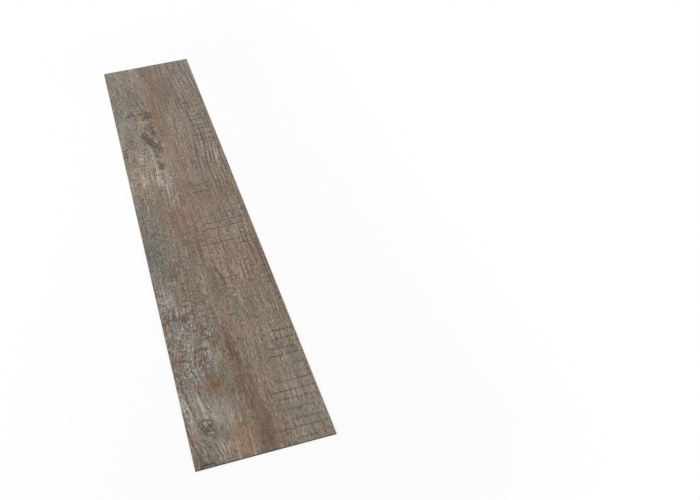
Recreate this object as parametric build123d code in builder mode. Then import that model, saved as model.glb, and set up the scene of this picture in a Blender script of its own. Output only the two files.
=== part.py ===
from build123d import *
import os

# Glue-down vinyl floor plank with square butt edges, lying flat with its printed face up.
# X runs across the plank, Y along its length and Z up, in millimetres.
# The origin is the middle of the underside, which is the face that is bonded to the floor.

plank_length = 48 * IN
plank_width = 7.25 * IN
plank_thickness = 2.0

# The press that punches the plank out of its sheet rolls the upper rim over by this radius.
# The lower rim stays sharp, so that neighbouring planks meet tight at the joint.
rolled_rim_radius = 0.25

with BuildPart() as vinyl_plank:
    with BuildSketch(Plane.XY) as cut_outline:
        Rectangle(plank_width, plank_length)
    extrude(amount=plank_thickness)
    wear_face = vinyl_plank.faces().sort_by(Axis.Z)[-1]
    fillet(wear_face.edges(), radius=rolled_rim_radius)

vinyl_plank.part.label = "vinyl_plank"

os.makedirs("parts", exist_ok=True)
export_step(vinyl_plank.part, "parts/vinyl_plank.step")
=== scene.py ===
import math

import bpy
import numpy as np
from mathutils import Matrix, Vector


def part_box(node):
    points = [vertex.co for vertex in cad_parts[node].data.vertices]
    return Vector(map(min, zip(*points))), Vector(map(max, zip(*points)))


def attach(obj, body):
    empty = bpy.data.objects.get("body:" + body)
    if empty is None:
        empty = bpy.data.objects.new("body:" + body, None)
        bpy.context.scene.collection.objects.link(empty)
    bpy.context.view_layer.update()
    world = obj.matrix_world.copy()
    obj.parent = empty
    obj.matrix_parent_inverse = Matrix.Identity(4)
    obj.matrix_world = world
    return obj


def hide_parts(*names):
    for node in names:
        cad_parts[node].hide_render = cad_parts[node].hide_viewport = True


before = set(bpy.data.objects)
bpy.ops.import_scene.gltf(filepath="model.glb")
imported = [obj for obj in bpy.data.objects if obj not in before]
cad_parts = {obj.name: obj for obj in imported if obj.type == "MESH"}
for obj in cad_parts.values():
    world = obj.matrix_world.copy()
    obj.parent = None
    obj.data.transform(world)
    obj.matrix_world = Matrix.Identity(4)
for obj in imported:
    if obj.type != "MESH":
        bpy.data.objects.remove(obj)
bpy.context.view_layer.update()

# Looks of the vinyl floor plank: a thin plank with a weathered-wood print that is embossed to match,
# charcoal cut edges and a linen-embossed backing. Places on the print are in millimetres from the
# middle of the plank: across runs to the right and along runs away from the near end.

MM = 0.001
plank_low, plank_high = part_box("vinyl_plank")
WIDTH = plank_high.x - plank_low.x
LENGTH = plank_high.y - plank_low.y
THICKNESS = plank_high.z - plank_low.z
RIM_RADIUS = 0.25 * MM

# The embossed face: how many squares its mesh has across and along, then in millimetres how deep the
# press goes, how far the relief of a line reaches past the line, and how wide it fades at the rim.
EMBOSS_COLUMNS = 128
EMBOSS_ROWS = 600
SAW_CUT_DEPTH = 0.09
CRACK_DEPTH = 0.12
GRAIN_DEPTH = 0.1
LINE_SHOULDER = 1
EMBOSS_FADE = 3

# Two layers of streaks that make up the embossed grain: width, length and seed.
NARROW_GRAIN = (3.2, 60, 1)
BROAD_GRAIN = (9, 25, 2)

# Crosswise cuts that the saw left, mostly on the right: along, from across, to across, rise, weight.
SAW_CUTS = (
    (417, 40, 56, 0, 1.5),
    (394, 45, 62, 0, 1.9),
    (377, 36, 90, 0, 1.5),
    (352, 52, 66, 0, 1.5),
    (333, 44, 76, 0, 1.7),
    (316, 50, 80, 0, 1.8),
    (290, 50, 85, 0, 1.9),
    (274, 58, 85, 0, 1.9),
    (251, 48, 85, 0, 1.9),
    (230, 52, 85, 0, 1.6),
    (146, 16, 38, 0, 1.1),
    (66, 8, 42, 0, 0.9),
    (41, 12, 42, 1, 1.4),
    (40, 50, 74, 0, 0.6),
    (19, -24, 8, 0, 0.5),
    (-43, 12, 88, 4, 0.9),
    (-64, 16, 88, 4, 1.1),
    (-84, 3, 76, 4, 1.2),
    (-85, -26, 3, 0, 0.4),
    (-127, 0, 88, 3, 1.1),
    (-143, 54, 92, 2, 0.9),
    (-227, 12, 42, 0, 1),
    (-227, 42, 76, 0, 0.4),
    (-382, 56, 91, 0, 0.9),
    (-401, 51, 92, 0, 1),
    (-422, 48, 90, 0, 0.9),
    (-437, 43, 92, 0, 1.1),
    (-459, 70, 92, 1, 0.7),
    (-478, 40, 88, 0, 0.4),
    (-491, 42, 66, 0, 0.7),
    (-491, 66, 86, 0, 1.1),
    (-510, 28, 90, 0, 1),
    (-526, 36, 86, 0, 0.9),
    (-546, 42, 80, 0, 0.8),
    (-566, 44, 86, 0, 0.9),
    (-581, 32, 88, 0, 0.9),
    (-600, 46, 80, 0, 0.7),
)
SAW_CUT_HALF_WIDTH = 2.2

# Dark lines along the grain: the points that each one follows, then its weight.
GRAIN_LINES = (
    (((42, 600), (45, 560), (49, 510), (52, 470), (56, 425)), 0.9),
    (((37, 575), (40, 500), (43, 440), (46, 400), (51, 350), (54, 300)), 0.9),
    (((57, 606), (60, 550), (64, 500), (67, 455)), 1),
    (((69, 600), (70, 560)), 0.6),
    (((72, 590), (75, 550), (78, 510), (80, 465)), 0.9),
    (((79, 604), (83, 560), (86, 490), (86, 450)), 1),
    (((72, 458), (75, 420), (76, 370), (78, 320)), 0.9),
    (((85, 412), (89, 382)), 0.8),
    (((84, 350), (86, 290)), 0.8),
    (((55, 425), (58, 385), (60, 350)), 0.6),
    (((66, 400), (69, 350), (70, 318)), 0.5),
    (((26, 384), (26, 358)), 0.6),
    (((62, 285), (63, 250), (65, 210), (66, 150), (68, 110)), 0.8),
    (((83, 230), (84, 170), (83, 140), (85, 95)), 1),
    (((51, 262), (52, 210)), 0.8),
    (((32, 245), (33, 210), (32, 150)), 0.6),
    (((45, 200), (45, 158)), 0.7),
    (((39, 225), (39, 165)), 0.5),
    (((58, 190), (57, 130)), 0.3),
    (((71, 102), (72, 66), (70, 30)), 0.9),
    (((56, 82), (57, 40)), 0.8),
    (((38, 88), (39, 50)), 0.6),
    (((48, 60), (50, 10)), 0.6),
    (((67, 20), (67, -144)), 1.1),
    (((56, -16), (56, -30)), 0.8),
    (((56, -44), (57, -84)), 0.9),
    (((60, -14), (61, -72)), 0.6),
    (((85, 10), (84, -52)), 0.9),
    (((76, -56), (75, -130)), 1),
    (((33, -84), (33, -170)), 0.7),
    (((75, -128), (75, -215)), 0.8),
    (((84, -150), (85, -280)), 0.9),
    (((67, -150), (68, -214)), 0.6),
    (((36, -176), (36, -196)), 0.9),
    (((-7, -215), (-7, -250)), 0.7),
    (((35, -320), (36, -372)), 0.5),
    (((58, -440), (58, -480)), 0.5),
    (((-57, 590), (-52, 572), (-50, 555)), 1),
    (((-13, 568), (-13, 556)), 1),
    (((-49, 525), (-44, 506)), 0.8),
    (((-44, 492), (-38, 464), (-35, 450)), 1.1),
    (((-74, 585), (-66, 560), (-58, 538)), 0.6),
    (((-60, 470), (-54, 440), (-50, 415)), 0.5),
    (((-31, 518), (-26, 505), (-20, 488), (-17, 474)), 1),
    (((-32, 447), (-28, 425)), 0.8),
    (((-90, 475), (-86, 445)), 0.9),
    (((-81, 434), (-76, 415), (-74, 406)), 1.1),
    (((-77, 414), (-80, 392), (-74, 374)), 0.9),
    (((-63, -461), (-64, -474), (-61, -491), (-58, -504), (-55, -516)), 1),
    (((-70, -474), (-69, -490), (-66, -512)), 0.6),
    (((-57, -476), (-54, -497), (-49, -522)), 0.4),
    (((-84, -560), (-74, -578)), 0.7),
    (((-78, -560), (-66, -578)), 0.7),
    (((-71, -562), (-64, -574)), 0.5),
    (((-58, -577), (-57, -586), (-53, -598)), 1),
    (((-21, -324), (-20, -352)), 0.6),
)
GRAIN_LINE_HALF_WIDTH = 1.7

# Open cracks round the knots: the points that each one follows, its half width and its weight.
CRACKS = (
    (((9, -196), (13, -212), (15, -230)), 3.6, 1.1),
    (((17, -236), (18, -246)), 3, 0.7),
    (((-51, 502), (-46, 478), (-44, 454), (-39, 427), (-34, 400), (-33, 390)), 2.2, 1.2),
    (((-71, 377), (-64, 381), (-61, 388), (-57, 393), (-53, 390), (-52, 379)), 3.4, 1.3),
    (((-42, 386), (-37, 380)), 4.8, 1.5),
    (((-54, 345), (-46, 333), (-40, 325)), 1.8, 0.8),
    (((-40, 325), (-37, 313), (-33, 309)), 2.4, 1.3),
    (((-31, 310), (-23, 316)), 2.8, 0.9),
    (((-17, 257), (-19, 240)), 2.6, 1),
    (((-78, -580), (-82, -581)), 3.4, 0.9),
    (((-86, -428), (-84, -450), (-82, -466), (-82, -480), (-79, -502), (-75, -524)), 1.6, 1.1),
    (((-81, -466), (-79, -481), (-75, -498), (-70, -515)), 1.4, 0.8),
    (((-91, -527), (-90, -543), (-88, -558), (-88, -566), (-83, -586)), 1.8, 1),
    (((-84, -608), (-80, -605), (-74, -604), (-68, -605), (-65, -608)), 2.6, 1.5),
)

# The eye of the near knot, in the same way.
KNOT_EYE = (
    (((-75, -524), (-74, -536), (-70, -545), (-63, -549)), 2, 1.1),
    (((-72, -528), (-68, -526), (-63, -527), (-60, -530)), 3.4, 0.9),
    (((-71, -529), (-70, -528)), 3.8, 1.1),
    (((-71, -533), (-68, -541), (-64, -546)), 2.4, 0.9),
    (((-62, -530), (-64, -536)), 1.8, 0.7),
    (((-61, -537), (-60, -541)), 4.6, 1.1),
    (((-70, -549), (-66, -555), (-61, -557), (-57, -555)), 2.6, 0.8),
    (((-56, -552), (-57, -545)), 2.6, 0.8),
    (((-60, -562), (-56, -559)), 2.6, 0.7),
    (((-55, -534), (-53, -546)), 1.8, 0.5),
    (((-78, -542), (-72, -553)), 1.6, 0.6),
)

# Pale wood round the knots, in the same way.
PALE_LINES = (
    (((-67, -476), (-66, -492), (-63, -509)), 4.2, 1.5),
    (((-67, -532), (-67, -534)), 3.4, 0.9),
    (((-61, -552), (-59, -553)), 3.4, 0.9),
    (((-13, 244), (-13, 230)), 3.4, 1.1),
    (((-27, 264), (-24, 250)), 2.4, 0.7),
    (((-44, 351), (-31, 340)), 7, 0.7),
    (((-72, -500), (-69, -516)), 2, 0.5),
)

# Streaks of bare grey wood where the stain has weathered off, in the same way.
BARE_STREAKS = (
    (((-65, -320), (-65, -360)), 5.5, 0.9),
    (((-82, -314), (-81, -330)), 5, 0.7),
    (((-37, -360), (-36, -386)), 5, 0.8),
    (((-34, -396), (-33, -430)), 6.5, 0.9),
    (((-69, -415), (-69, -447)), 4, 0.9),
    (((-59, -415), (-60, -440)), 4, 0.8),
    (((-52, -331), (-52, -351)), 4.5, 0.7),
    (((-22, -336), (-22, -354)), 5, 0.6),
    (((-70, -246), (-70, -267)), 5, 0.9),
    (((-84, -210), (-83, -230)), 5, 0.6),
    (((-61, -200), (-61, -226)), 5, 0.6),
    (((-38, 190), (-38, 168)), 5, 0.5),
    (((-38, 118), (-40, 92)), 6, 0.6),
    (((-25, 96), (-26, 76)), 5, 0.5),
)

# Rusty stain that runs crosswise over the near knot, in the same way.
RUST_STAIN = (
    (((-66, -466), (-48, -472), (-30, -478)), 12, 0.6),
    (((-46, -452), (-28, -456)), 11, 0.5),
)

# Bark-brown blots of the far knot, in the same way.
BLOTS = (
    (((-42, 298), (-41, 285)), 6, 1.4),
    (((-43, 284), (-39, 272), (-37, 262)), 14.5, 1.7),
    (((-35, 260), (-30, 246)), 14, 1.6),
    (((-28, 241), (-23, 229)), 13, 1.5),
    (((-20, 222), (-20, 217), (-23, 209)), 8, 1.4),
    (((-29, 203), (-28, 191)), 5.5, 0.8),
    (((-27, 171), (-26, 152)), 8.5, 1.4),
    (((-28, 388), (-26, 374)), 11, 1.5),
    (((-31, 365), (-22, 362)), 11, 1.8),
    (((-24, 300), (-25, 287)), 7, 1.2),
    (((-82, 246), (-86, 226), (-88, 210)), 6, 0.7),
    (((-74, 281), (-72, 276)), 5.5, 1),
    (((-78, 259), (-76, 254)), 6.5, 1),
    (((-68, 248), (-66, 242)), 4.5, 0.8),
)

# Patches of one pigment on the print, from the far end to the near one: across, along, half width,
# half length, weight and, where the patch leans, how far it shifts across for each millimetre along.
TAN_PATCHES = (
    (66, 520, 8, 40, 0.4),
    (-5, 490, 9, 30, 0.4),
    (66, 400, 24, 110, 0.6),
    (-44, 350, 13, 18, 0.7, 0.2),
    (66, 220, 30, 80, 0.9),
    (28, 215, 7, 34, 0.7),
    (56, 190, 44, 34, 0.7),
    (20, 190, 50, 80, 0.7),
    (-62, 150, 16, 110, 0.8),
    (76, 140, 9, 130, 0.9),
    (-34, 118, 12, 18, 0.6),
    (18, 66, 14, 20, 0.5),
    (40, 60, 50, 80, 0.4),
    (-30, 30, 40, 60, 0.4),
    (34, -70, 60, 110, 0.7),
    (84, -90, 10, 200, 0.6),
    (42, -170, 46, 110, 0.7),
    (54, -215, 9, 70, 0.6),
    (38, -330, 30, 130, 0.25),
    (61, -410, 6, 100, 0.7),
    (62, -410, 14, 60, 0.4),
    (50, -506, 22, 16, 0.4),
    (56, -510, 14, 40, 0.5),
    (-80, -562, 12, 20, 0.5),
    (-22, -572, 22, 52, 0.7),
)
SLATE_PATCHES = (
    (-82, 596, 16, 22, 0.4),
    (-50, 588, 10, 24, 0.3),
    (74, 580, 20, 50, 0.3),
    (-58, 560, 36, 70, 0.15),
    (-30, 510, 9, 80, 0.3, -0.1),
    (82, 430, 12, 40, 0.3),
    (-66, 430, 40, 70, 0.4),
    (75, 412, 8, 16, 0.4),
    (-79, 410, 7, 30, 0.5),
    (-88, 400, 20, 90, 0.5),
    (-78, 388, 16, 16, 0.5),
    (-48, 386, 12, 12, 0.6),
    (-62, 372, 34, 40, 0.3),
    (-74, 350, 16, 16, 0.6),
    (-76, 350, 12, 50, 0.3),
    (70, 330, 26, 90, 0.2),
    (30, 322, 9, 30, 0.5),
    (34, 316, 9, 10, 0.7),
    (63, 314, 9, 10, 0.7),
    (-64, 290, 30, 50, 0.45, 0.2),
    (88, 240, 6, 30, 0.8),
    (19, 158, 9, 22, 0.3),
    (40, 130, 30, 40, 0.2),
    (-56, 22, 8, 18, 0.4),
    (-84, -4, 26, 66, 0.8),
    (-50, -36, 14, 16, 0.5),
    (-70, -58, 24, 26, 0.75),
    (52, -65, 34, 26, 0.35),
    (-80, -112, 26, 72, 1),
    (-54, -115, 18, 50, 0.4),
    (-60, -130, 14, 50, 0.4),
    (-87, -172, 8, 32, 0.7),
    (-20, -176, 20, 30, 0.2),
    (-64, -190, 26, 50, 0.2),
    (-84, -210, 12, 60, 0.5),
    (-15, -240, 6, 30, 0.3),
    (-60, -300, 30, 24, 0.5),
    (72, -362, 14, 24, 0.25),
    (48, -385, 12, 20, 0.35),
    (22, -410, 8, 60, 0.3),
    (64, -420, 36, 60, 0.25),
    (-44, -506, 34, 30, 0.35),
    (-60, -516, 20, 30, 0.25),
    (-47, -550, 9, 12, 0.7),
    (64, -550, 38, 80, 0.2),
    (-60, -570, 30, 30, 0.15),
    (-78, -598, 32, 22, 0.8),
)
UMBER_PATCHES = (
    (20, 575, 14, 50, 0.4),
    (-4, 570, 18, 90, 0.7),
    (-88, 545, 8, 60, 0.4),
    (-12, 495, 12, 50, 0.25),
    (10, 480, 34, 90, 0.5),
    (-40, 440, 16, 60, 0.3, 0.1),
    (-4, 400, 20, 70, 0.5),
    (-15, 378, 9, 18, 0.7),
    (-34, 362, 10, 12, 0.7),
    (-22, 330, 14, 20, 0.5),
    (-38, 325, 10, 20, 0.3),
    (-8, 310, 26, 50, 0.4),
    (-12, 266, 9, 12, 0.5),
    (10, 180, 30, 110, 0.15),
    (-46, 170, 10, 14, 0.4),
    (-71, 150, 12, 16, 0.8),
    (88, 90, 7, 170, 0.3),
    (-28, 82, 9, 10, 0.85),
    (40, 40, 50, 60, 0.4),
    (-46, 30, 14, 40, 0.35),
    (-50, 4, 18, 50, 0.3),
    (6, -20, 14, 30, 0.4),
    (40, -22, 10, 10, 0.5),
    (-22, -36, 30, 44, 0.6),
    (86, -40, 7, 60, 0.5),
    (-84, -50, 12, 12, 0.6),
    (-14, -105, 28, 60, 0.6),
    (-52, -180, 28, 40, 0.4),
    (-52, -184, 10, 26, 0.9),
    (0, -190, 14, 40, 0.45),
    (-78, -227, 8, 9, 0.7),
    (88, -230, 9, 160, 0.5),
    (-34, -240, 40, 80, 0.35),
    (50, -250, 34, 70, 0.3),
    (10, -270, 20, 70, 0.4),
    (-62, -300, 40, 14, 0.5),
    (-84, -308, 20, 14, 0.7),
    (-74, -315, 10, 9, 0.4),
    (0, -330, 110, 320, 0.08),
    (-47, -330, 9, 9, 0.4),
    (80, -330, 12, 60, 0.25),
    (3, -333, 12, 16, 0.5),
    (-28, -350, 20, 36, 0.75, 0.1),
    (-82, -354, 14, 12, 0.8),
    (-22, -372, 16, 20, 0.5),
    (-62, -380, 9, 10, 0.5),
    (-86, -392, 12, 10, 0.7),
    (-40, -395, 8, 8, 0.4),
    (-4, -405, 11, 60, 0.9),
    (-52, -406, 11, 9, 0.7),
    (-88, -408, 10, 8, 0.7),
    (-70, -409, 9, 9, 0.9),
    (-40, -434, 14, 8, 0.7),
    (-29, -442, 11, 12, 0.8),
    (-40, -456, 15, 13, 1),
    (-22, -470, 10, 14, 0.35),
    (-38, -472, 15, 12, 0.4),
    (-12, -472, 11, 26, 0.8),
    (2, -476, 14, 60, 0.9),
    (13, -500, 9, 18, 0.3),
    (-12, -550, 8, 70, 0.4),
    (26, -550, 14, 80, 0.2),
    (8, -560, 15, 90, 0.75),
    (76, -590, 8, 20, 0.3),
    (-76, -599, 30, 16, 0.55),
)
RUST_PATCHES = (
    (-6, 576, 7, 24, 0.4),
    (35, 505, 8, 36, 0.45),
    (-74, 500, 6, 24, 0.35),
    (-50, 480, 5, 40, 0.4, -0.15),
    (8, 480, 22, 60, 0.25),
    (-66, 432, 6, 22, 0.4),
    (-12, 402, 8, 16, 0.6),
    (-12, 370, 12, 40, 0.4),
    (-14, 332, 12, 14, 0.6),
    (-3, 278, 15, 30, 0.5),
    (-14, 246, 10, 44, 0.5),
    (4, 225, 12, 40, 0.3),
    (71, 193, 9, 24, 0.25),
    (78, 190, 16, 12, 0.3),
    (-46, 124, 22, 20, 0.5),
    (0, 100, 24, 80, 0.3),
    (-8, 34, 7, 44, 0.4),
    (80, 22, 14, 24, 0.35),
    (28, 10, 14, 50, 0.25),
    (-24, -36, 28, 40, 0.35),
    (-89, -38, 5, 16, 0.5),
    (-30, -80, 9, 14, 0.4),
    (-8, -95, 26, 40, 0.4),
    (12, -110, 12, 26, 0.3),
    (27, -124, 10, 10, 0.4),
    (78, -125, 12, 24, 0.3),
    (-20, -157, 9, 22, 0.35),
    (78, -180, 8, 50, 0.5),
    (84, -182, 8, 22, 0.7),
    (50, -190, 34, 60, 0.3),
    (-30, -252, 8, 18, 0.35),
    (0, -340, 16, 30, 0.3),
    (0, -385, 7, 30, 0.4),
    (-7, -422, 10, 22, 0.4),
    (0, -430, 12, 70, 0.2),
    (-52, -456, 20, 20, 0.4),
    (24, -550, 16, 70, 0.25),
    (-86, -555, 8, 20, 0.4),
    (-44, -563, 9, 12, 0.6),
    (8, -566, 11, 40, 0.35),
    (-22, -574, 12, 40, 0.4),
    (-44, -580, 14, 24, 0.35),
)
OCHRE_PATCHES = (
    (-16, 529, 8, 24, 1.1),
    (-44, 370, 6, 12, 0.6),
    (-44, 347, 10, 12, 0.6),
    (-16, 322, 24, 36, 0.25),
    (71, 184, 12, 34, 0.2),
    (-20, -580, 10, 26, 0.3),
)
CHALK_PATCHES = (
    (46, 588, 6, 24, 0.3),
    (-70, 586, 20, 34, 0.4, -0.3),
    (-68, 586, 14, 20, 0.3),
    (-34, 582, 9, 44, 0.8, -0.1),
    (74, 580, 16, 30, 0.3),
    (45, 571, 10, 20, 0.55),
    (-54, 562, 13, 20, 0.5),
    (67, 514, 10, 36, 0.35),
    (-38, 436, 8, 34, 0.5, -0.1),
    (-80, 430, 14, 14, 0.3),
    (40, 426, 9, 24, 0.3),
    (-78, 352, 14, 24, 0.3),
    (70, 350, 5, 60, 0.4),
    (-44, 347, 10, 10, 0.3),
    (-82, 324, 12, 14, 0.4),
    (-79, 270, 10, 12, 0.35),
    (-88, 262, 9, 36, 0.4),
    (-74, 222, 9, 32, 0.5),
    (28, 215, 8, 34, 0.35),
    (-31, 210, 8, 12, 0.4),
    (-54, 197, 12, 12, 0.8),
    (-42, 188, 14, 40, 0.6),
    (70, 186, 18, 38, 0.6),
    (58, 160, 8, 10, 0.35),
    (-46, 132, 16, 12, 0.7),
    (-86, 130, 8, 16, 0.6),
    (-66, 124, 20, 40, 0.5),
    (-34, 114, 14, 50, 0.9),
    (-22, 100, 9, 40, 0.6),
    (-86, 100, 12, 70, 0.25),
    (-67, 75, 9, 9, 0.5),
    (-18, 52, 8, 26, 0.4),
    (-72, 25, 9, 24, 0.4),
    (64, -48, 8, 40, 0.3),
    (-28, -128, 9, 22, 0.4),
    (52, -205, 9, 38, 0.35),
    (-17, -215, 8, 44, 0.45),
    (34, -278, 8, 24, 0.4),
    (63, -378, 10, 26, 0.5),
    (-78, -424, 12, 9, 0.6),
    (63, -438, 9, 24, 0.35),
    (-82, -468, 10, 18, 0.5),
    (-86, -488, 13, 36, 0.9),
    (-60, -490, 9, 11, 0.35),
    (-74, -490, 9, 24, 0.6),
    (-50, -514, 24, 28, 0.55, 0.1),
    (58, -515, 22, 18, 0.35),
    (-30, -532, 14, 14, 0.4),
    (-67, -562, 9, 14, 0.3),
    (58, -580, 8, 26, 0.3),
    (-48, -582, 18, 22, 0.5),
)
MIST_PATCHES = (
    (11, 550, 9, 20, 0.25),
    (-36, 540, 12, 24, 0.25),
    (-74, 535, 18, 30, 0.3),
    (60, 520, 30, 90, 0.15),
    (85, 500, 9, 110, 0.25),
    (-45, 397, 9, 12, 0.7),
    (-72, 362, 14, 30, 0.35),
    (-52, 332, 12, 14, 0.4),
    (-88, 286, 8, 24, 0.4),
    (-52, 282, 20, 36, 0.35, 0.2),
    (-56, 246, 9, 18, 0.3),
    (-44, 205, 12, 36, 0.4),
    (-19, 186, 9, 24, 0.35),
    (-59, 184, 8, 18, 0.3),
    (4, -177, 9, 22, 0.25),
    (-85, -182, 8, 22, 0.4),
    (-61, -214, 9, 16, 0.5),
    (-16, -232, 8, 20, 0.3),
    (-65, -244, 10, 16, 0.6),
    (-76, -255, 14, 40, 1),
    (-56, -324, 14, 9, 0.8),
    (-76, -338, 9, 24, 0.9),
    (-29, -341, 9, 16, 1),
    (-59, -347, 11, 14, 1.1),
    (-44, -370, 9, 9, 0.8),
    (-38, -374, 7, 16, 0.7, 0.1),
    (-62, -375, 12, 26, 0.3),
    (-33, -412, 8, 22, 0.8),
    (-60, -428, 16, 24, 0.8),
    (80, -485, 12, 66, 0.3),
    (-84, -505, 14, 40, 0.8),
    (-66, -514, 14, 22, 0.3),
    (-40, -516, 26, 28, 0.25, 0.1),
    (-56, -520, 34, 34, 0.6),
    (-44, -536, 14, 12, 0.4),
    (-80, -540, 12, 14, 0.6),
    (68, -540, 26, 80, 0.2),
    (-11, -558, 4, 14, 0.6),
    (-70, -560, 14, 40, 0.3),
)
SOOT_PATCHES = (
    (-70, 268, 10, 18, 0.3),
    (-70, -60, 16, 14, 0.25),
    (-5, -422, 6, 14, 0.4),
    (-64, -546, 14, 20, 0.3, 0.2),
)

# Where the stain has weathered off in flecks, in the same way.
WEATHERED_PATCHES = (
    (-60, 160, 44, 150, 0.3),
    (-50, -120, 60, 150, 0.4),
    (-60, -350, 56, 150, 1),
)

# Where the fibres are worn smooth, in the same way.
SMOOTH_PATCHES = (
    (-10, 520, 24, 120, 0.5),
    (-34, 352, 24, 30, 0.7),
    (-82, 350, 16, 50, 0.5),
    (-36, 262, 22, 60, 0.2, -0.3),
    (0, -150, 30, 150, 0.25),
    (20, -420, 70, 160, 0.2),
    (-40, -462, 20, 26, 0.6),
    (-42, -516, 40, 44, 1),
    (62, -520, 36, 110, 0.7),
    (-70, -560, 30, 60, 0.8),
    (6, -560, 22, 80, 0.8),
    (-22, -580, 20, 40, 0.6),
)

# Where the grain bends: across, along, half width, half length, spread, lean.
# Spread opens the streaks round a knot, and lean tilts them.
GRAIN_BENDS = (
    (-72, -480, 34, 110, 0, -0.16),
    (-65, -538, 24, 34, 0.5, 0),
    (-70, -580, 30, 40, 0, -0.4),
    (-62, 560, 46, 110, 0, -0.3),
    (-44, 450, 34, 90, 0, -0.16),
    (72, 430, 60, 260, 0, -0.06),
    (-34, 262, 26, 80, 0.15, -0.12),
    (-56, 384, 30, 40, 0.2, 0),
)

# Where the saw's chatter shows as fine crosswise ripples, with the embossing's sheen painted into them
# as colour, in the same way as the patches.
CHATTER_AND_SHEEN_PATCHES = (
    (-64, 160, 22, 110, 1),
    (-70, 20, 24, 60, 0.4),
    (-56, -350, 44, 90, 0.7),
)

# Where the growth lines show, in the same way.
LINED_PATCHES = (
    (-60, 540, 40, 90, 0.4),
    (64, 440, 44, 290, 1.05),
    (62, 160, 36, 170, 1.4),
    (56, -80, 50, 170, 0.35),
    (-76, -340, 16, 36, 0.7),
    (-62, -430, 22, 30, 0.9),
    (-76, -500, 22, 100, 0.3),
)

# The grain's waver: how far it goes, and the width and length of its bends.
WAVER = 5
WAVER_SIZE = (45, 110, 1)

# The growth lines: how far apart they are, how far they drift in steps of that, and over what size.
GROWTH_PITCH = 7.2
GROWTH_DRIFT = 1
GROWTH_DRIFT_SIZE = (26, 330, 1)

# Streaks of the print's fibres: width, length, seed and contrast. The saw's chatter runs crosswise and
# also carries painted sheen.
PRINT_FIBRES = {
    "fine": (1.2, 6.5, 1, 2.8),
    "hair": (1.4, 90, 10, 2.8),
    "medium": (2.9, 45, 2, 2.6),
    "coarse": (7, 130, 3, 2.4),
    "mottle": (3.2, 9, 4, 2.6),
    "band": (22, 300, 5, 2.4),
    "blotch": (10, 14, 6, 2.6),
    "warmth": (6, 70, 11, 2.6),
    "green": (4.5, 40, 12, 2.6),
    "pore": (1.7, 15, 8, 2.6),
}
SAW_CHATTER_AND_SHEEN = (14, 2.4, 7, 2.6)

# How far the fibres fray the patches' edges, and how far the drawn lines wander.
BLOTCH_FRAY = 9
MOTTLE_FRAY = 6
LENGTHWISE_FRAY = 34
LINE_WANDER = 2

# How much the fibres of each kind lighten and darken the print, on plain wood and where it is worn
# smooth, and the same for the ripples of the saw's chatter with their painted sheen, outside their
# patches and in them.
FIBRE_CONTRAST = (
    ("fine", 0.92, 0.3),
    ("hair", 0.64, 0.3),
    ("medium", 0.26, 0.1),
    ("coarse", 0.2, 0.2),
)
CHATTER_AND_SHEEN_CONTRAST = (0.12, 0.55)
MEDIAN_TONE = 0.945
DARKEST_TONE = 0.35

# How a layer follows a streak, a wave or a mask: two of its values, then how much of the layer is
# left at each.
PALE_FLECKS = (0.52, 0.75, 0, 0.4)
PALE_BARS = (0.3, 0.7, 0.2, 1.4)
BROWN_FLECKS = (0.48, 0.3, 0, 0.5)
BROWN_BARS = (0.7, 0.3, 0.3, 1.4)
BARE_WEAR = (0, 1, 0.4, 1)
GROWTH_EDGE = (0.5, 1, 0, 1)
GROWTH_WEAR = (0.25, 0.7, 0.85, 0.4)
RUST_WEAR = (0, 1, 0.5, 1.1)
BLOT_WEAR = (0, 1, 1.4, 0.5)
BLOT_EDGE = (0.3, 0.9, 0, 1)
BLOT_GRAIN = (0.9, 0.2, 0.7, 1)
CUT_WEAR = (0.85, 0.35, 0.5, 1)
CRACK_WEAR = (0.9, 0.3, 0.45, 1)
EYE_WEAR = (1, 0.3, 0.55, 1)
PORE_EDGE = (0.42, 0.12, 0, 1)
CORE_SPECKS = (0.56, 0.74, 0, 0.8)
CORE_WIPES = (0.4, 0.75, 0, 0.35)
THREAD_WEAR = (0, 1, 0.2, 0.9)

# Roughness in the same way, the print's specular level and the floor's roughness.
PRINT_ROUGHNESS = (0, 1, 0.62, 0.5)
CORE_ROUGHNESS = (0.2, 0.8, 0.75, 0.6)
BACKING_ROUGHNESS = (0, 1, 0.8, 0.65)
PRINT_SPECULAR = 0.25
FLOOR_ROUGHNESS = 0.9

# How strongly the wide bands, the open pores, the pale lines and the dark marks show, and how high
# the fibres stand over the pores.
BAND_STRENGTH = 0.5
PORE_STRENGTH = 0.5
PALE_STRENGTH = 0.6
MARK_STRENGTH = 0.8
FIBRE_HEIGHT = 0.6

# The cut edges: specks and wipes for each millimetre along the edge and up it.
SPECKS_PER_MM = (2.2, 3, 1)
WIPES_PER_MM = (0.9, 0.25, 1)
WIPE_SEED = (0, 0, 7)

# The backing: the pitch of its threads, and its slubs in the same way as the fibres.
THREAD_PITCH = 1.1
BACKING_SLUBS = (1.3, 24, 9, 2)


def paint(red, green, blue):
    """A colour written as it looks, from 0 to 255, in the linear light that shaders use."""
    linear = []
    for channel in (red, green, blue):
        value = channel / 255
        linear.append(value / 12.92 if value <= 0.04045 else ((value + 0.055) / 1.055) ** 2.4)
    return (*linear, 1.0)


GREIGE = paint(134, 122, 107)
TAN = paint(150, 130, 110)
SLATE = paint(102, 104, 99)
MIST = paint(152, 153, 147)
CHALK = paint(176, 166, 152)
UMBER = paint(94, 70, 54)
RUST = paint(142, 107, 80)
OCHRE = paint(160, 132, 88)
SOOT = paint(58, 57, 55)
BARK = paint(82, 71, 60)
PORE = paint(76, 68, 60)
SLATE_LINE = paint(74, 75, 74)
COOL_TINT = (0.94, 1.0, 1.04, 1)
WARM_TINT = (1.06, 1.0, 0.95, 1)
GREEN_TINT = (0.965, 1.025, 0.965, 1)
PINK_TINT = (1.035, 0.975, 1.035, 1)
CORE = paint(46, 48, 52)
CORE_SPECK = paint(74, 76, 80)
BACKING = paint(60, 60, 62)
BACKING_THREAD = paint(84, 84, 86)
FLOOR = paint(248, 248, 248)
WHITE = (1, 1, 1, 1)

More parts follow.
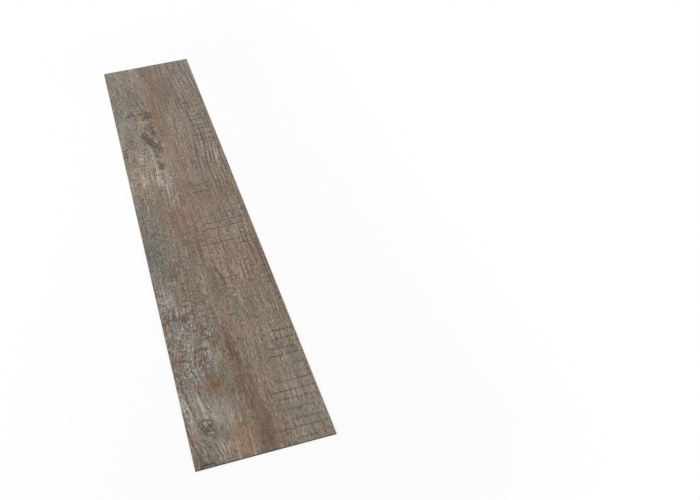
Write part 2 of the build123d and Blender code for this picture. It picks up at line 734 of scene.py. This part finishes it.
# The pigments in the order in which they are rubbed in: colour, patches, the fibres that they follow,
# and how much of them the dark and the pale fibres take.
STAINS = (
    (TAN, TAN_PATCHES, "coarse", 0.45, 1.1),
    (SLATE, SLATE_PATCHES, "medium", 0.45, 1.1),
    (UMBER, UMBER_PATCHES, "medium", 0.45, 1.1),
    (RUST, RUST_PATCHES, "mottle", 0.45, 1.1),
    (OCHRE, OCHRE_PATCHES, "coarse", 0.45, 1.1),
    (MIST, MIST_PATCHES, "mottle", 0.2, 1.2),
    (CHALK, CHALK_PATCHES, "medium", 0.2, 1.2),
    (SOOT, SOOT_PATCHES, "mottle", 0.5, 1.2),
)


# The sockets of a Mix node that carry its two colours and the result.
MIX_UNDER = 6
MIX_OVER = 7
MIX_RESULT = 2


class Graph:
    """Adds nodes to one node tree. A value is a number, a colour, a vector or another node's output."""

    def __init__(self, tree):
        self.tree = tree

    def feed(self, socket, value):
        if isinstance(value, bpy.types.NodeSocket):
            self.tree.links.new(value, socket)
        else:
            socket.default_value = value

    def node(self, kind, inputs=None, **settings):
        node = self.tree.nodes.new(kind)
        for name, value in settings.items():
            setattr(node, name, value)
        for key, value in (inputs or {}).items():
            self.feed(node.inputs[key], value)
        return node

    def math(self, operation, *values):
        return self.node("ShaderNodeMath", dict(enumerate(values)), operation=operation).outputs[0]

    def times(self, first, second):
        return self.math("MULTIPLY", first, second)

    def swing(self, streak, amount, base=0.0):
        """The base value with a streak's swing about its middle added, this many times as strong."""
        return self.math("MULTIPLY_ADD", self.math("SUBTRACT", streak, 0.5), amount, base)

    def clamp(self, value):
        return self.node("ShaderNodeClamp", {"Value": value}).outputs[0]

    def vector(self, operation, *values):
        node = self.node("ShaderNodeVectorMath", dict(enumerate(values)), operation=operation)
        scalar = operation in ("LENGTH", "DISTANCE", "DOT_PRODUCT")
        return node.outputs["Value" if scalar else "Vector"]

    def scaled(self, vector, factor):
        node = self.node("ShaderNodeVectorMath", {"Vector": vector, "Scale": factor}, operation="SCALE")
        return node.outputs["Vector"]

    def split(self, vector):
        node = self.node("ShaderNodeSeparateXYZ", {"Vector": vector})
        return node.outputs["X"], node.outputs["Y"], node.outputs["Z"]

    def join(self, x, y, z=0.0):
        return self.node("ShaderNodeCombineXYZ", {"X": x, "Y": y, "Z": z}).outputs["Vector"]

    def remap(self, value, low, high, to_low=0.0, to_high=1.0, smooth=True):
        node = self.node(
            "ShaderNodeMapRange",
            {"Value": value, "From Min": low, "From Max": high, "To Min": to_low, "To Max": to_high},
            interpolation_type="SMOOTHSTEP" if smooth else "LINEAR",
            clamp=not smooth,
        )
        return node.outputs["Result"]

    def blend(self, amount, under, over, mode="MIX"):
        node = self.node("ShaderNodeMix", data_type="RGBA", blend_type=mode)
        self.feed(node.inputs["Factor"], amount)
        self.feed(node.inputs[MIX_UNDER], under)
        self.feed(node.inputs[MIX_OVER], over)
        return node.outputs[MIX_RESULT]

    def noise(self, vector, detail=1.0):
        inputs = {"Vector": vector, "Scale": 1.0, "Detail": detail}
        return self.node("ShaderNodeTexNoise", inputs).outputs[0]

    def place(self, group, **inputs):
        """Places a node group. Each input is named as on the group, with _ for a space."""
        node = self.node("ShaderNodeGroup", node_tree=group)
        for name, value in inputs.items():
            self.feed(node.inputs[name.replace("_", " ")], value)
        return node


def new_group(name, inputs, outputs):
    """A shader node group with these sockets, its graph, and its incoming and outgoing sockets."""
    tree = bpy.data.node_groups.new(name, "ShaderNodeTree")
    for label, kind in inputs:
        tree.interface.new_socket(label, in_out="INPUT", socket_type="NodeSocket" + kind)
    for label, kind in outputs:
        tree.interface.new_socket(label, in_out="OUTPUT", socket_type="NodeSocket" + kind)
    graph = Graph(tree)
    arriving = graph.node("NodeGroupInput")
    leaving = graph.node("NodeGroupOutput")
    return tree, graph, arriving.outputs, leaving.inputs


def fibre_group():
    """Streaks that run along the plank, from 0 to 1. Size is their width and length in millimetres."""
    group, graph, given, result = new_group(
        "Fibres",
        [("Place", "Vector"), ("Size", "Vector"), ("Seed", "Vector"), ("Contrast", "Float")],
        [("Streak", "Float")],
    )
    stretched = graph.vector("ADD", graph.vector("DIVIDE", given["Place"], given["Size"]), given["Seed"])
    streak = graph.swing(graph.noise(stretched), given["Contrast"], 0.5)
    graph.feed(result["Streak"], graph.clamp(streak))
    return group


# The squared way from a patch's middle to its rim at which it ends, and at which it is at full weight.
PATCH_EDGE = 1.3
PATCH_HEART = 0.02


def patch_group():
    """A soft leaning oval added to the mask of the patches before it.

    The two axes run over the oval's half width and half length, each as the step from the middle
    to the rim turned into one.
    """
    group, graph, given, result = new_group(
        "Patch",
        [("Place", "Vector"), ("Middle", "Vector"), ("Width Axis", "Vector"), ("Length Axis", "Vector"),
         ("Weight", "Float"), ("Before", "Float")],
        [("Mask", "Float")],
    )
    offset = graph.vector("SUBTRACT", given["Place"], given["Middle"])
    sideways = graph.vector("DOT_PRODUCT", offset, given["Width Axis"])
    lengthways = graph.vector("DOT_PRODUCT", offset, given["Length Axis"])
    squared = graph.math("MULTIPLY_ADD", sideways, sideways, graph.times(lengthways, lengthways))
    mask = graph.remap(squared, PATCH_EDGE, PATCH_HEART, 0.0, given["Weight"])
    graph.feed(result["Mask"], graph.math("MAXIMUM", mask, given["Before"]))
    return group


def stroke_group():
    """A line from Start to End added to the mask of the lines before it."""
    group, graph, given, result = new_group(
        "Stroke",
        [("Place", "Vector"), ("Start", "Vector"), ("End", "Vector"), ("Half Width", "Float"),
         ("Weight", "Float"), ("Before", "Float")],
        [("Mask", "Float")],
    )
    offset = graph.vector("SUBTRACT", given["Place"], given["Start"])
    span = graph.vector("SUBTRACT", given["End"], given["Start"])
    covered = graph.vector("DOT_PRODUCT", offset, span)
    reached = graph.clamp(graph.math("DIVIDE", covered, graph.vector("DOT_PRODUCT", span, span)))
    distance = graph.vector("DISTANCE", offset, graph.scaled(span, reached))
    mask = graph.remap(distance, given["Half Width"], 0.0, 0.0, given["Weight"])
    graph.feed(result["Mask"], graph.math("MAXIMUM", mask, given["Before"]))
    return group


FIBRES = fibre_group()
PATCH = patch_group()
STROKE = stroke_group()


def new_material(name):
    """A material with its Principled shader, its graph and the place on the plank in millimetres."""
    material = bpy.data.materials.new(name)
    material.use_nodes = True
    graph = Graph(material.node_tree)
    shader = material.node_tree.nodes["Principled BSDF"]
    position = graph.node("ShaderNodeTexCoord").outputs["Object"]
    return material, graph, shader, graph.scaled(position, 1 / MM)


def patches(graph, place, several):
    """The mask of a list of patches."""
    mask = 0.0
    for across, along, half_width, half_length, weight, *leaning in several:
        lean = leaning[0] if leaning else 0.0
        mask = graph.place(
            PATCH,
            Place=place,
            Middle=(across, along, 0),
            Width_Axis=(1 / half_width, -lean / half_width, 0),
            Length_Axis=(0, 1 / half_length, 0),
            Weight=weight,
            Before=mask,
        ).outputs["Mask"]
    return mask


def strokes(graph, place, several):
    """The mask of a list of lines, each with its points, its half width and its weight."""
    mask = 0.0
    for points, half_width, weight in several:
        for start, end in zip(points, points[1:]):
            mask = graph.place(
                STROKE,
                Place=place,
                Start=(*start, 0),
                End=(*end, 0),
                Half_Width=half_width,
                Weight=weight,
                Before=mask,
            ).outputs["Mask"]
    return mask


def saw_cut_lines():
    """The saw cuts as lines of two points."""
    return [
        (((left, along - rise / 2), (right, along + rise / 2)), SAW_CUT_HALF_WIDTH, weight)
        for along, left, right, rise, weight in SAW_CUTS
    ]


def grain_lines():
    """The dark grain lines with their half width."""
    return [(points, GRAIN_LINE_HALF_WIDTH, weight) for points, weight in GRAIN_LINES]


def bent_grain(graph, place):
    """The place with its across value bent, so that streaks flow round the knots and waver a little."""
    across, along, _ = graph.split(place)
    bent = graph.swing(graph.noise(graph.vector("DIVIDE", place, WAVER_SIZE)), WAVER, across)
    for middle_across, middle_along, half_width, half_length, spread, lean in GRAIN_BENDS:
        near = patches(graph, place, [(middle_across, middle_along, half_width, half_length, 1)])
        offset = graph.vector("SUBTRACT", place, (middle_across, middle_along, 0))
        shift = graph.vector("DOT_PRODUCT", offset, (-spread, -lean, 0))
        bent = graph.math("MULTIPLY_ADD", near, shift, bent)
    return graph.join(bent, along)


def fibres(graph, place, width, length, seed, contrast):
    """Streaks of this width and length in millimetres, from 0 to 1."""
    return graph.place(
        FIBRES, Place=place, Size=(width, length, 1), Seed=(0, 0, seed), Contrast=contrast
    ).outputs["Streak"]


def growth_lines(graph, grain):
    """Dark lines of late growth that follow the bent grain."""
    across, _, _ = graph.split(grain)
    drift = graph.noise(graph.vector("DIVIDE", grain, GROWTH_DRIFT_SIZE))
    turns = graph.times(across, 2 * math.pi / GROWTH_PITCH)
    phase = graph.math("MULTIPLY_ADD", drift, GROWTH_DRIFT * 2 * math.pi, turns)
    return graph.remap(graph.math("SINE", phase), *GROWTH_EDGE)


class PrintedWood:
    """The colour of the print, laid on in layers from the ground colour to the drawn marks."""

    def __init__(self, graph, position):
        self.graph = graph
        self.flat = graph.vector("MULTIPLY", position, (1, 1, 0))
        grain = bent_grain(graph, self.flat)
        streaks = {kind: fibres(graph, grain, *sizes) for kind, sizes in PRINT_FIBRES.items()}
        streaks["chatter_and_sheen"] = fibres(graph, self.flat, *SAW_CHATTER_AND_SHEEN)
        self.streaks = streaks
        self.pores = graph.remap(streaks["pore"], *PORE_EDGE)
        self.growth = growth_lines(graph, grain)
        sideways_fray = graph.swing(streaks["mottle"], MOTTLE_FRAY)
        self.frayed = self.moved(
            graph.swing(streaks["blotch"], BLOTCH_FRAY, sideways_fray),
            graph.swing(streaks["medium"], LENGTHWISE_FRAY),
        )
        self.colour = graph.blend(graph.times(streaks["band"], BAND_STRENGTH), GREIGE, TAN)

    def moved(self, across, along):
        """The place on the print, moved by these distances."""
        return self.graph.vector("ADD", self.flat, self.graph.join(across, along))

    def worn(self, mask, kind, wear):
        """A mask that the streaks of one kind wear away."""
        return self.graph.times(mask, self.graph.remap(self.streaks[kind], *wear))

    def lay(self, amount, pigment):
        """Lays a pigment over what is there."""
        self.colour = self.graph.blend(amount, self.colour, pigment)

    def rub_in_stains(self):
        """Rubs each pigment into its patches, whose edges are frayed along the fibres."""
        for pigment, several, kind, on_dark, on_pale in STAINS:
            mask = patches(self.graph, self.frayed, several)
            self.lay(self.worn(mask, kind, (0, 1, on_dark, on_pale)), pigment)

    def weather(self):
        """Flecks of bare and of stained wood, and streaks that are bare all over."""
        weathered = patches(self.graph, self.frayed, WEATHERED_PATCHES)
        self.lay(self.worn(self.worn(weathered, "blotch", PALE_FLECKS), "medium", PALE_BARS), MIST)
        self.lay(self.worn(self.worn(weathered, "blotch", BROWN_FLECKS), "chatter_and_sheen", BROWN_BARS), UMBER)
        bare = self.worn(strokes(self.graph, self.frayed, BARE_STREAKS), "mottle", BARE_WEAR)
        self.lay(self.graph.clamp(bare), MIST)

    def draw_growth_lines(self):
        """Draws the growth lines in their patches."""
        lined = self.graph.times(patches(self.graph, self.flat, LINED_PATCHES), self.growth)
        self.lay(self.worn(lined, "coarse", GROWTH_WEAR), SLATE_LINE)

    def stain_knots(self):
        """Rust over the near knot and bark in the far one, with edges half as frayed as the patches'."""
        graph = self.graph
        ragged = graph.vector("ADD", graph.scaled(self.flat, 0.5), graph.scaled(self.frayed, 0.5))
        self.lay(self.worn(strokes(graph, ragged, RUST_STAIN), "mottle", RUST_WEAR), RUST)
        blots = self.worn(strokes(graph, ragged, BLOTS), "mottle", BLOT_WEAR)
        self.lay(self.worn(graph.remap(blots, *BLOT_EDGE), "fine", BLOT_GRAIN), BARK)

    def shade_fibres(self):
        """Lightens, darkens and tints the fibres, and opens the pores."""
        graph, streaks = self.graph, self.streaks
        smoothed = patches(graph, self.frayed, SMOOTH_PATCHES)
        tone = MEDIAN_TONE
        for kind, on_plain, on_smooth in FIBRE_CONTRAST:
            contrast = graph.remap(smoothed, 0, 1, on_plain, on_smooth, smooth=False)
            tone = graph.swing(streaks[kind], contrast, tone)
        # Crosswise ripples: faint saw chatter in the print everywhere, and in their patches mostly
        # painted sheen of the embossing.
        ripple = graph.remap(patches(graph, self.flat, CHATTER_AND_SHEEN_PATCHES), 0, 1, *CHATTER_AND_SHEEN_CONTRAST)
        tone = graph.math("MAXIMUM", graph.swing(streaks["chatter_and_sheen"], ripple, tone), DARKEST_TONE)
        warm_or_cool = graph.blend(streaks["warmth"], COOL_TINT, WARM_TINT)
        green_or_pink = graph.blend(streaks["green"], GREEN_TINT, PINK_TINT)
        for tint in (graph.join(tone, tone, tone), warm_or_cool, green_or_pink):
            self.colour = graph.blend(1.0, self.colour, tint, "MULTIPLY")
        self.lay(graph.times(self.pores, PORE_STRENGTH), PORE)

    def draw_marks(self):
        """Draws the pale lines, and over them the saw cuts, cracks, grain lines and the knot's eye."""
        graph = self.graph
        sideways_wander = graph.swing(self.streaks["mottle"], LINE_WANDER)
        unsteady = self.moved(sideways_wander, graph.swing(self.streaks["coarse"], LINE_WANDER))
        cuts = self.worn(strokes(graph, unsteady, saw_cut_lines()), "medium", CUT_WEAR)
        cracks = self.worn(strokes(graph, unsteady, (*grain_lines(), *CRACKS)), "mottle", CRACK_WEAR)
        eye = self.worn(strokes(graph, unsteady, KNOT_EYE), "mottle", EYE_WEAR)
        pale = graph.times(strokes(graph, unsteady, PALE_LINES), PALE_STRENGTH)
        self.lay(graph.clamp(pale), CHALK)
        dark = graph.math("MAXIMUM", graph.math("MAXIMUM", cuts, cracks), eye)
        self.lay(graph.clamp(graph.times(dark, MARK_STRENGTH)), SOOT)


def emboss(graph, shader, height, strength, depth):
    """Presses fine relief into a material. The depth is in millimetres."""
    bump = graph.node("ShaderNodeBump", {"Height": height, "Strength": strength, "Distance": depth * MM})
    graph.feed(shader.inputs["Normal"], bump.outputs["Normal"])


def oak_print():
    """The printed and embossed face."""
    material, graph, shader, position = new_material("Weathered wood print")
    wood = PrintedWood(graph, position)
    wood.rub_in_stains()
    wood.weather()
    wood.draw_growth_lines()
    wood.stain_knots()
    wood.shade_fibres()
    wood.draw_marks()
    graph.feed(shader.inputs["Base Color"], wood.colour)
    fine, medium = wood.streaks["fine"], wood.streaks["medium"]
    graph.feed(shader.inputs["Roughness"], graph.remap(fine, *PRINT_ROUGHNESS, smooth=False))
    shader.inputs["Specular IOR Level"].default_value = PRINT_SPECULAR
    height = graph.math("MULTIPLY_ADD", fine, FIBRE_HEIGHT, graph.times(medium, FIBRE_HEIGHT))
    emboss(graph, shader, graph.math("SUBTRACT", height, wood.pores), strength=0.6, depth=0.1)
    return material


def charcoal_core():
    """The cut edges: charcoal filled vinyl with mineral specks, wiped upwards by the punch."""
    material, graph, shader, position = new_material("Charcoal core")
    across, along, up = graph.split(position)
    on_edge = graph.join(graph.math("ADD", across, along), up)
    speck = graph.noise(graph.vector("MULTIPLY", on_edge, SPECKS_PER_MM), detail=2.0)
    wipe = graph.noise(graph.vector("MULTIPLY_ADD", on_edge, WIPES_PER_MM, WIPE_SEED))
    colour = graph.blend(graph.remap(speck, *CORE_SPECKS), CORE, CORE_SPECK)
    colour = graph.blend(graph.remap(wipe, *CORE_WIPES), colour, CORE_SPECK)
    graph.feed(shader.inputs["Base Color"], colour)
    graph.feed(shader.inputs["Roughness"], graph.remap(wipe, *CORE_ROUGHNESS, smooth=False))
    emboss(graph, shader, wipe, strength=0.5, depth=0.1)
    return material


def linen_backing():
    """The underside: a dark backing, embossed like linen so that adhesive keys to it."""
    material, graph, shader, position = new_material("Linen backing")
    across, along, _ = graph.split(position)
    turn = 2 * math.pi / THREAD_PITCH
    warp = graph.math("SINE", graph.times(across, turn))
    weft = graph.math("SINE", graph.times(along, turn))
    weave = graph.math("MULTIPLY_ADD", graph.times(warp, weft), 0.5, 0.5)
    slubs = fibres(graph, position, *BACKING_SLUBS)
    threads = graph.times(weave, graph.remap(slubs, *THREAD_WEAR))
    graph.feed(shader.inputs["Base Color"], graph.blend(threads, BACKING, BACKING_THREAD))
    graph.feed(shader.inputs["Roughness"], graph.remap(slubs, *BACKING_ROUGHNESS, smooth=False))
    emboss(graph, shader, weave, strength=0.7, depth=0.12)
    return material


def smooth_step(value):
    """A soft rise from 0 to 1."""
    value = np.clip(value, 0, 1)
    return value * value * (3 - 2 * value)


def lattice_streaks(across, along, width, length, seed):
    """Smooth random streaks of about this width and length, from 0 to 1."""
    column = (across + WIDTH / MM / 2) / width
    row = (along + LENGTH / MM / 2) / length
    knots = np.random.default_rng(seed).random((int(column.max()) + 2, int(row.max()) + 2))
    i, j = column.astype(int), row.astype(int)
    u, v = smooth_step(column - i), smooth_step(row - j)
    near = knots[i, j] * (1 - u) + knots[i + 1, j] * u
    far = knots[i, j + 1] * (1 - u) + knots[i + 1, j + 1] * u
    return near * (1 - v) + far * v


def line_relief(across, along, several):
    """How deep each place lies in a list of lines, from 0 to 1."""
    deepest = np.zeros_like(across)
    for points, half_width, weight in several:
        for start, end in zip(points, points[1:]):
            offset_x, offset_y = across - start[0], along - start[1]
            span_x, span_y = end[0] - start[0], end[1] - start[1]
            reached = np.clip((offset_x * span_x + offset_y * span_y) / (span_x**2 + span_y**2), 0, 1)
            distance = np.hypot(offset_x - span_x * reached, offset_y - span_y * reached)
            depth = weight * smooth_step(1 - distance / (half_width + LINE_SHOULDER))
            deepest = np.maximum(deepest, depth)
    return np.minimum(deepest, 1)


def emboss_depth(across, along):
    """How far the embossed face lies under the plank's top, in millimetres."""
    grain = lattice_streaks(across, along, *NARROW_GRAIN) * lattice_streaks(across, along, *BROAD_GRAIN)
    depth = GRAIN_DEPTH * grain
    depth = np.maximum(depth, SAW_CUT_DEPTH * line_relief(across, along, saw_cut_lines()))
    depth = np.maximum(depth, CRACK_DEPTH * line_relief(across, along, (*grain_lines(), *CRACKS)))
    to_rim = np.minimum(WIDTH / MM / 2 - np.abs(across), LENGTH / MM / 2 - np.abs(along))
    return depth * smooth_step(to_rim / EMBOSS_FADE)


class PlankMesh:
    """Collects the plank's vertices and faces, with each face's material and sheet of the UV map."""

    def __init__(self):
        self.vertices = []
        self.count = 0
        self.faces = []
        self.materials = []
        self.sheets = []

    def add_vertices(self, x, y, z):
        """Adds arrays of places and returns the new vertices' numbers in the arrays' shape."""
        places = np.stack(np.broadcast_arrays(x, y, z), -1).reshape(-1, 3)
        numbers = np.arange(self.count, self.count + len(places))
        self.vertices.append(places)
        self.count += len(places)
        return numbers.reshape(np.shape(x))

    def add_faces(self, corners, material, sheet):
        """Adds faces from arrays of their first corners, their second ones and so on."""
        self.faces += np.stack(corners, -1).reshape(-1, len(corners)).tolist()
        added = len(self.faces) - len(self.materials)
        self.materials += [material] * added
        self.sheets += np.broadcast_to(sheet, added).tolist()


PRINT, EDGE, BACK = range(3)
FACE_SHEET, LONG_EDGE_SHEET, END_SHEET, BACK_SHEET = range(4)


def add_underside(mesh, loop, rows):
    """Closes the lowest loop with the flat underside, which has a spine of places down its middle."""
    near = loop[: EMBOSS_COLUMNS + 1]
    right = loop[EMBOSS_COLUMNS : EMBOSS_COLUMNS + EMBOSS_ROWS + 1]
    far = loop[EMBOSS_COLUMNS + EMBOSS_ROWS : 2 * EMBOSS_COLUMNS + EMBOSS_ROWS + 1][::-1]
    left = np.append(loop[2 * EMBOSS_COLUMNS + EMBOSS_ROWS :], loop[0])[::-1]
    spine = mesh.add_vertices(np.zeros(len(rows)), rows, np.zeros(len(rows)))
    mesh.add_faces((left[1:-2], left[2:-1], spine[1:], spine[:-1]), BACK, BACK_SHEET)
    mesh.add_faces((spine[:-1], spine[1:], right[2:-1], right[1:-2]), BACK, BACK_SHEET)
    first, last = np.full(EMBOSS_COLUMNS, spine[0]), np.full(EMBOSS_COLUMNS, spine[-1])
    mesh.add_faces((near[:-1], first, near[1:]), BACK, BACK_SHEET)
    mesh.add_faces((far[1:], last, far[:-1]), BACK, BACK_SHEET)
    corners = [
        (near[0], left[1], spine[0]),
        (near[-1], spine[0], right[1]),
        (left[-2], far[0], spine[-1]),
        (spine[-1], far[-1], right[-2]),
    ]
    mesh.add_faces(tuple(np.array(corners).T), BACK, BACK_SHEET)


def plank_mesh():
    """The plank as one closed mesh: embossed face, rolled rim, cut edges and flat underside."""
    mesh = PlankMesh()
    inner_width, inner_length = WIDTH - 2 * RIM_RADIUS, LENGTH - 2 * RIM_RADIUS
    columns = np.linspace(-0.5, 0.5, EMBOSS_COLUMNS + 1)
    rows = np.linspace(-0.5, 0.5, EMBOSS_ROWS + 1)
    u, v = np.meshgrid(columns, rows, indexing="ij")
    x, y = u * inner_width, v * inner_length
    top = mesh.add_vertices(x, y, THICKNESS - emboss_depth(x / MM, y / MM) * MM)
    mesh.add_faces((top[:-1, :-1], top[1:, :-1], top[1:, 1:], top[:-1, 1:]), PRINT, FACE_SHEET)

    def round_trip(grid):
        """A grid's outer values in one turn, anticlockwise from the near left corner."""
        return np.concatenate((grid[:-1, 0], grid[-1, :-1], grid[:0:-1, -1], grid[0, :0:-1]))

    def skirt(upper, inset, height, material, sheet):
        """Adds the next loop outwards and down, and the faces between it and the one above."""
        across = round_trip(u) * (WIDTH - 2 * inset)
        along = round_trip(v) * (LENGTH - 2 * inset)
        lower = mesh.add_vertices(across, along, np.full(len(upper), height))
        mesh.add_faces((lower, np.roll(lower, -1), np.roll(upper, -1), upper), material, sheet)
        return lower

    # The rolled rim has one loop halfway round its arc.
    halfway = math.radians(45)
    inset, drop = RIM_RADIUS * (1 - math.sin(halfway)), RIM_RADIUS * (1 - math.cos(halfway))
    loop = skirt(round_trip(top), inset, THICKNESS - drop, PRINT, FACE_SHEET)
    loop = skirt(loop, 0, THICKNESS - RIM_RADIUS, PRINT, FACE_SHEET)
    on_end = np.abs(round_trip(v)) == 0.5
    loop = skirt(loop, 0, 0, EDGE, np.where(on_end & np.roll(on_end, -1), END_SHEET, LONG_EDGE_SHEET))

    add_underside(mesh, loop, rows[1:-1] * LENGTH)
    return mesh


# Widths of the upright strips on the UV map, the gap round each, and by how many of its own widths
# the rolled rim is laid out wider beside the face.
FACE_STRIP = 0.39
BACK_STRIP = 0.12
EDGE_STRIP = 0.012
STRIP_GAP = 0.006
RIM_WIDENING = 12


def widened(offset, size):
    """How far a place lies along a side, from 0 to 1, with the rolled rims laid out wider."""
    on_rim = np.maximum(np.abs(offset) - size / 2 + RIM_RADIUS, 0)
    laid_out = offset + np.sign(offset) * on_rim * RIM_WIDENING
    return laid_out / (size + 2 * RIM_RADIUS * RIM_WIDENING) + 0.5


def unwrap(mesh, sheets):
    """Lays the plank's sides out as upright strips of one UV map, the face as a near and a far half."""
    corners = np.zeros(len(mesh.loops), int)
    mesh.loops.foreach_get("vertex_index", corners)
    corner_counts = np.zeros(len(sheets), int)
    mesh.polygons.foreach_get("loop_total", corner_counts)
    centres = np.zeros(3 * len(sheets))
    mesh.polygons.foreach_get("center", centres)
    places = np.zeros(3 * len(mesh.vertices))
    mesh.vertices.foreach_get("co", places)

    across_of_face, along_of_face, _ = centres.reshape(-1, 3).T
    sheets = np.array(sheets)
    past_middle = np.where(sheets == LONG_EDGE_SHEET, across_of_face > 0, along_of_face > 0)
    is_second = past_middle & (sheets != BACK_SHEET)
    sheet = np.repeat(sheets, corner_counts)
    second = np.repeat(is_second, corner_counts)
    x, y, z = places.reshape(-1, 3)[corners].T
    side_x, side_y = x / WIDTH + 0.5, y / LENGTH + 0.5
    rise = z / (THICKNESS - RIM_RADIUS)
    mirrored = (sheet == LONG_EDGE_SHEET) == second
    rise = np.where(mirrored, 1 - rise, rise)
    sideways = np.choose(sheet, (widened(x, WIDTH), rise, rise, 1 - side_x))
    upwards = np.choose(sheet, (2 * widened(y, LENGTH) - second, side_y, side_x, side_y))

    widths = np.array([FACE_STRIP] * 2 + [EDGE_STRIP] * 4 + [BACK_STRIP])
    lefts = np.cumsum(widths + STRIP_GAP) - widths
    strip = 2 * sheet + second
    across_map = lefts[strip] + widths[strip] * sideways
    up_map = STRIP_GAP + (1 - 2 * STRIP_GAP) * upwards
    layer = mesh.uv_layers.new(name="OFBake")
    layer.data.foreach_set("uv", np.stack((across_map, up_map), -1).ravel())


def put_in_scene(name, data):
    """A new object in the scene."""
    thing = bpy.data.objects.new(name, data)
    bpy.context.scene.collection.objects.link(thing)
    return thing


def plank_object():
    """The plank as a piece of the scene."""
    parts = plank_mesh()
    mesh = bpy.data.meshes.new("embossed_plank")
    mesh.from_pydata(np.concatenate(parts.vertices).tolist(), [], parts.faces)
    for material in (oak_print(), charcoal_core(), linen_backing()):
        mesh.materials.append(material)
    mesh.polygons.foreach_set("material_index", parts.materials)
    mesh.polygons.foreach_set("use_smooth", [material == PRINT for material in parts.materials])
    mesh.update()
    unwrap(mesh, parts.sheets)
    plank = put_in_scene("embossed_plank", mesh)
    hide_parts("vinyl_plank")
    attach(plank, "root")


def looked_at(graph):
    """1 where the camera, a reflection or a clear piece sees the backdrop, and 0 for plain light."""
    rays = graph.node("ShaderNodeLightPath")
    seen = graph.math("MAXIMUM", rays.outputs["Is Camera Ray"], rays.outputs["Is Glossy Ray"])
    return graph.math("MAXIMUM", seen, rays.outputs["Is Transmission Ray"])


# Half the floor's size in metres, how far from the plank in millimetres it starts to turn whiter and
# is all white, and how white it is near the plank.
FLOOR_HALF_SIZE = 8.0
SHADOW_REACH = 40.0
WHITE_FROM = 400.0
NEAR_WHITENESS = 0.7


def floor():
    """A plain pale floor that keeps the plank's soft shadow and turns white further out."""
    half = FLOOR_HALF_SIZE
    mesh = bpy.data.meshes.new("studio_floor")
    corners = [(-half, -half, 0), (half, -half, 0), (half, half, 0), (-half, half, 0)]
    mesh.from_pydata(corners, [], [(0, 1, 2, 3)])
    ground = put_in_scene("studio_floor", mesh)
    material, graph, shader, place = new_material("Studio floor")
    shader.inputs["Base Color"].default_value = FLOOR
    shader.inputs["Roughness"].default_value = FLOOR_ROUGHNESS
    glow = graph.node("ShaderNodeEmission", {"Color": WHITE, "Strength": 1.0})
    half_plank = (WIDTH / 2 / MM, LENGTH / 2 / MM, 0)
    outside = graph.vector("SUBTRACT", graph.vector("ABSOLUTE", place), half_plank)
    distance = graph.vector("LENGTH", graph.vector("MAXIMUM", outside, (0, 0, 0)))
    whiteness = graph.remap(distance, SHADOW_REACH, WHITE_FROM, NEAR_WHITENESS, 1.0)
    amount = graph.times(looked_at(graph), whiteness)
    mixed = graph.node("ShaderNodeMixShader", {0: amount, 1: shader.outputs[0], 2: glow.outputs[0]})
    graph.feed(material.node_tree.nodes["Material Output"].inputs["Surface"], mixed.outputs[0])
    mesh.materials.append(material)


# The light all round, and the soft lamp's size, power in watts and place in metres.
WORLD_LIGHT = 0.72
SOFTBOX_SIZE = 1.6
SOFTBOX_POWER = 26
SOFTBOX_PLACE = (-1.6, 0.4, 1.9)


def studio_light():
    """Even white light all round, with a soft lamp high on the left for the relief."""
    world = bpy.data.worlds.new("Studio")
    bpy.context.scene.world = world
    world.use_nodes = True
    graph = Graph(world.node_tree)
    background = world.node_tree.nodes["Background"]
    strength = graph.remap(looked_at(graph), 0, 1, WORLD_LIGHT, 1, smooth=False)
    graph.feed(background.inputs["Strength"], strength)
    background.inputs["Color"].default_value = WHITE
    lamp = bpy.data.lights.new("Softbox", "AREA")
    lamp.shape = "SQUARE"
    lamp.size = SOFTBOX_SIZE
    lamp.energy = SOFTBOX_POWER
    softbox = put_in_scene("Softbox", lamp)
    softbox.location = SOFTBOX_PLACE
    tilt = math.atan2(SOFTBOX_PLACE[0], SOFTBOX_PLACE[2])
    softbox.rotation_euler = Matrix.Rotation(tilt, 3, "Y").to_euler()


# The photograph's viewpoint, solved from the four corners of the plank's face: place in metres,
# angles, lens and sensor in millimetres, and the nearest distance that shows, in metres.
CAMERA_PLACE = (-0.08954, -1.50511, 0.94398)
CAMERA_AZIMUTH = math.radians(13.805)
CAMERA_PITCH = math.radians(-35.685)
CAMERA_ROLL = math.radians(-4.904)
CAMERA_LENS = 51.739
CAMERA_SENSOR = 36
NEAREST_SEEN = 0.01


def camera():
    """The camera, at the photograph's viewing angle."""
    lens = bpy.data.cameras.new("Camera")
    lens.lens = CAMERA_LENS
    lens.sensor_width = CAMERA_SENSOR
    lens.clip_start = NEAREST_SEEN
    viewer = put_in_scene("Camera", lens)
    viewer.location = CAMERA_PLACE
    aim = Matrix.Rotation(-CAMERA_AZIMUTH, 3, "Z") @ Matrix.Rotation(math.pi / 2 + CAMERA_PITCH, 3, "X")
    viewer.rotation_euler = (aim @ Matrix.Rotation(CAMERA_ROLL, 3, "Z")).to_euler()
    bpy.context.scene.camera = viewer


plank_object()
floor()
studio_light()
camera()
bpy.context.scene.view_settings.view_transform = "Standard"
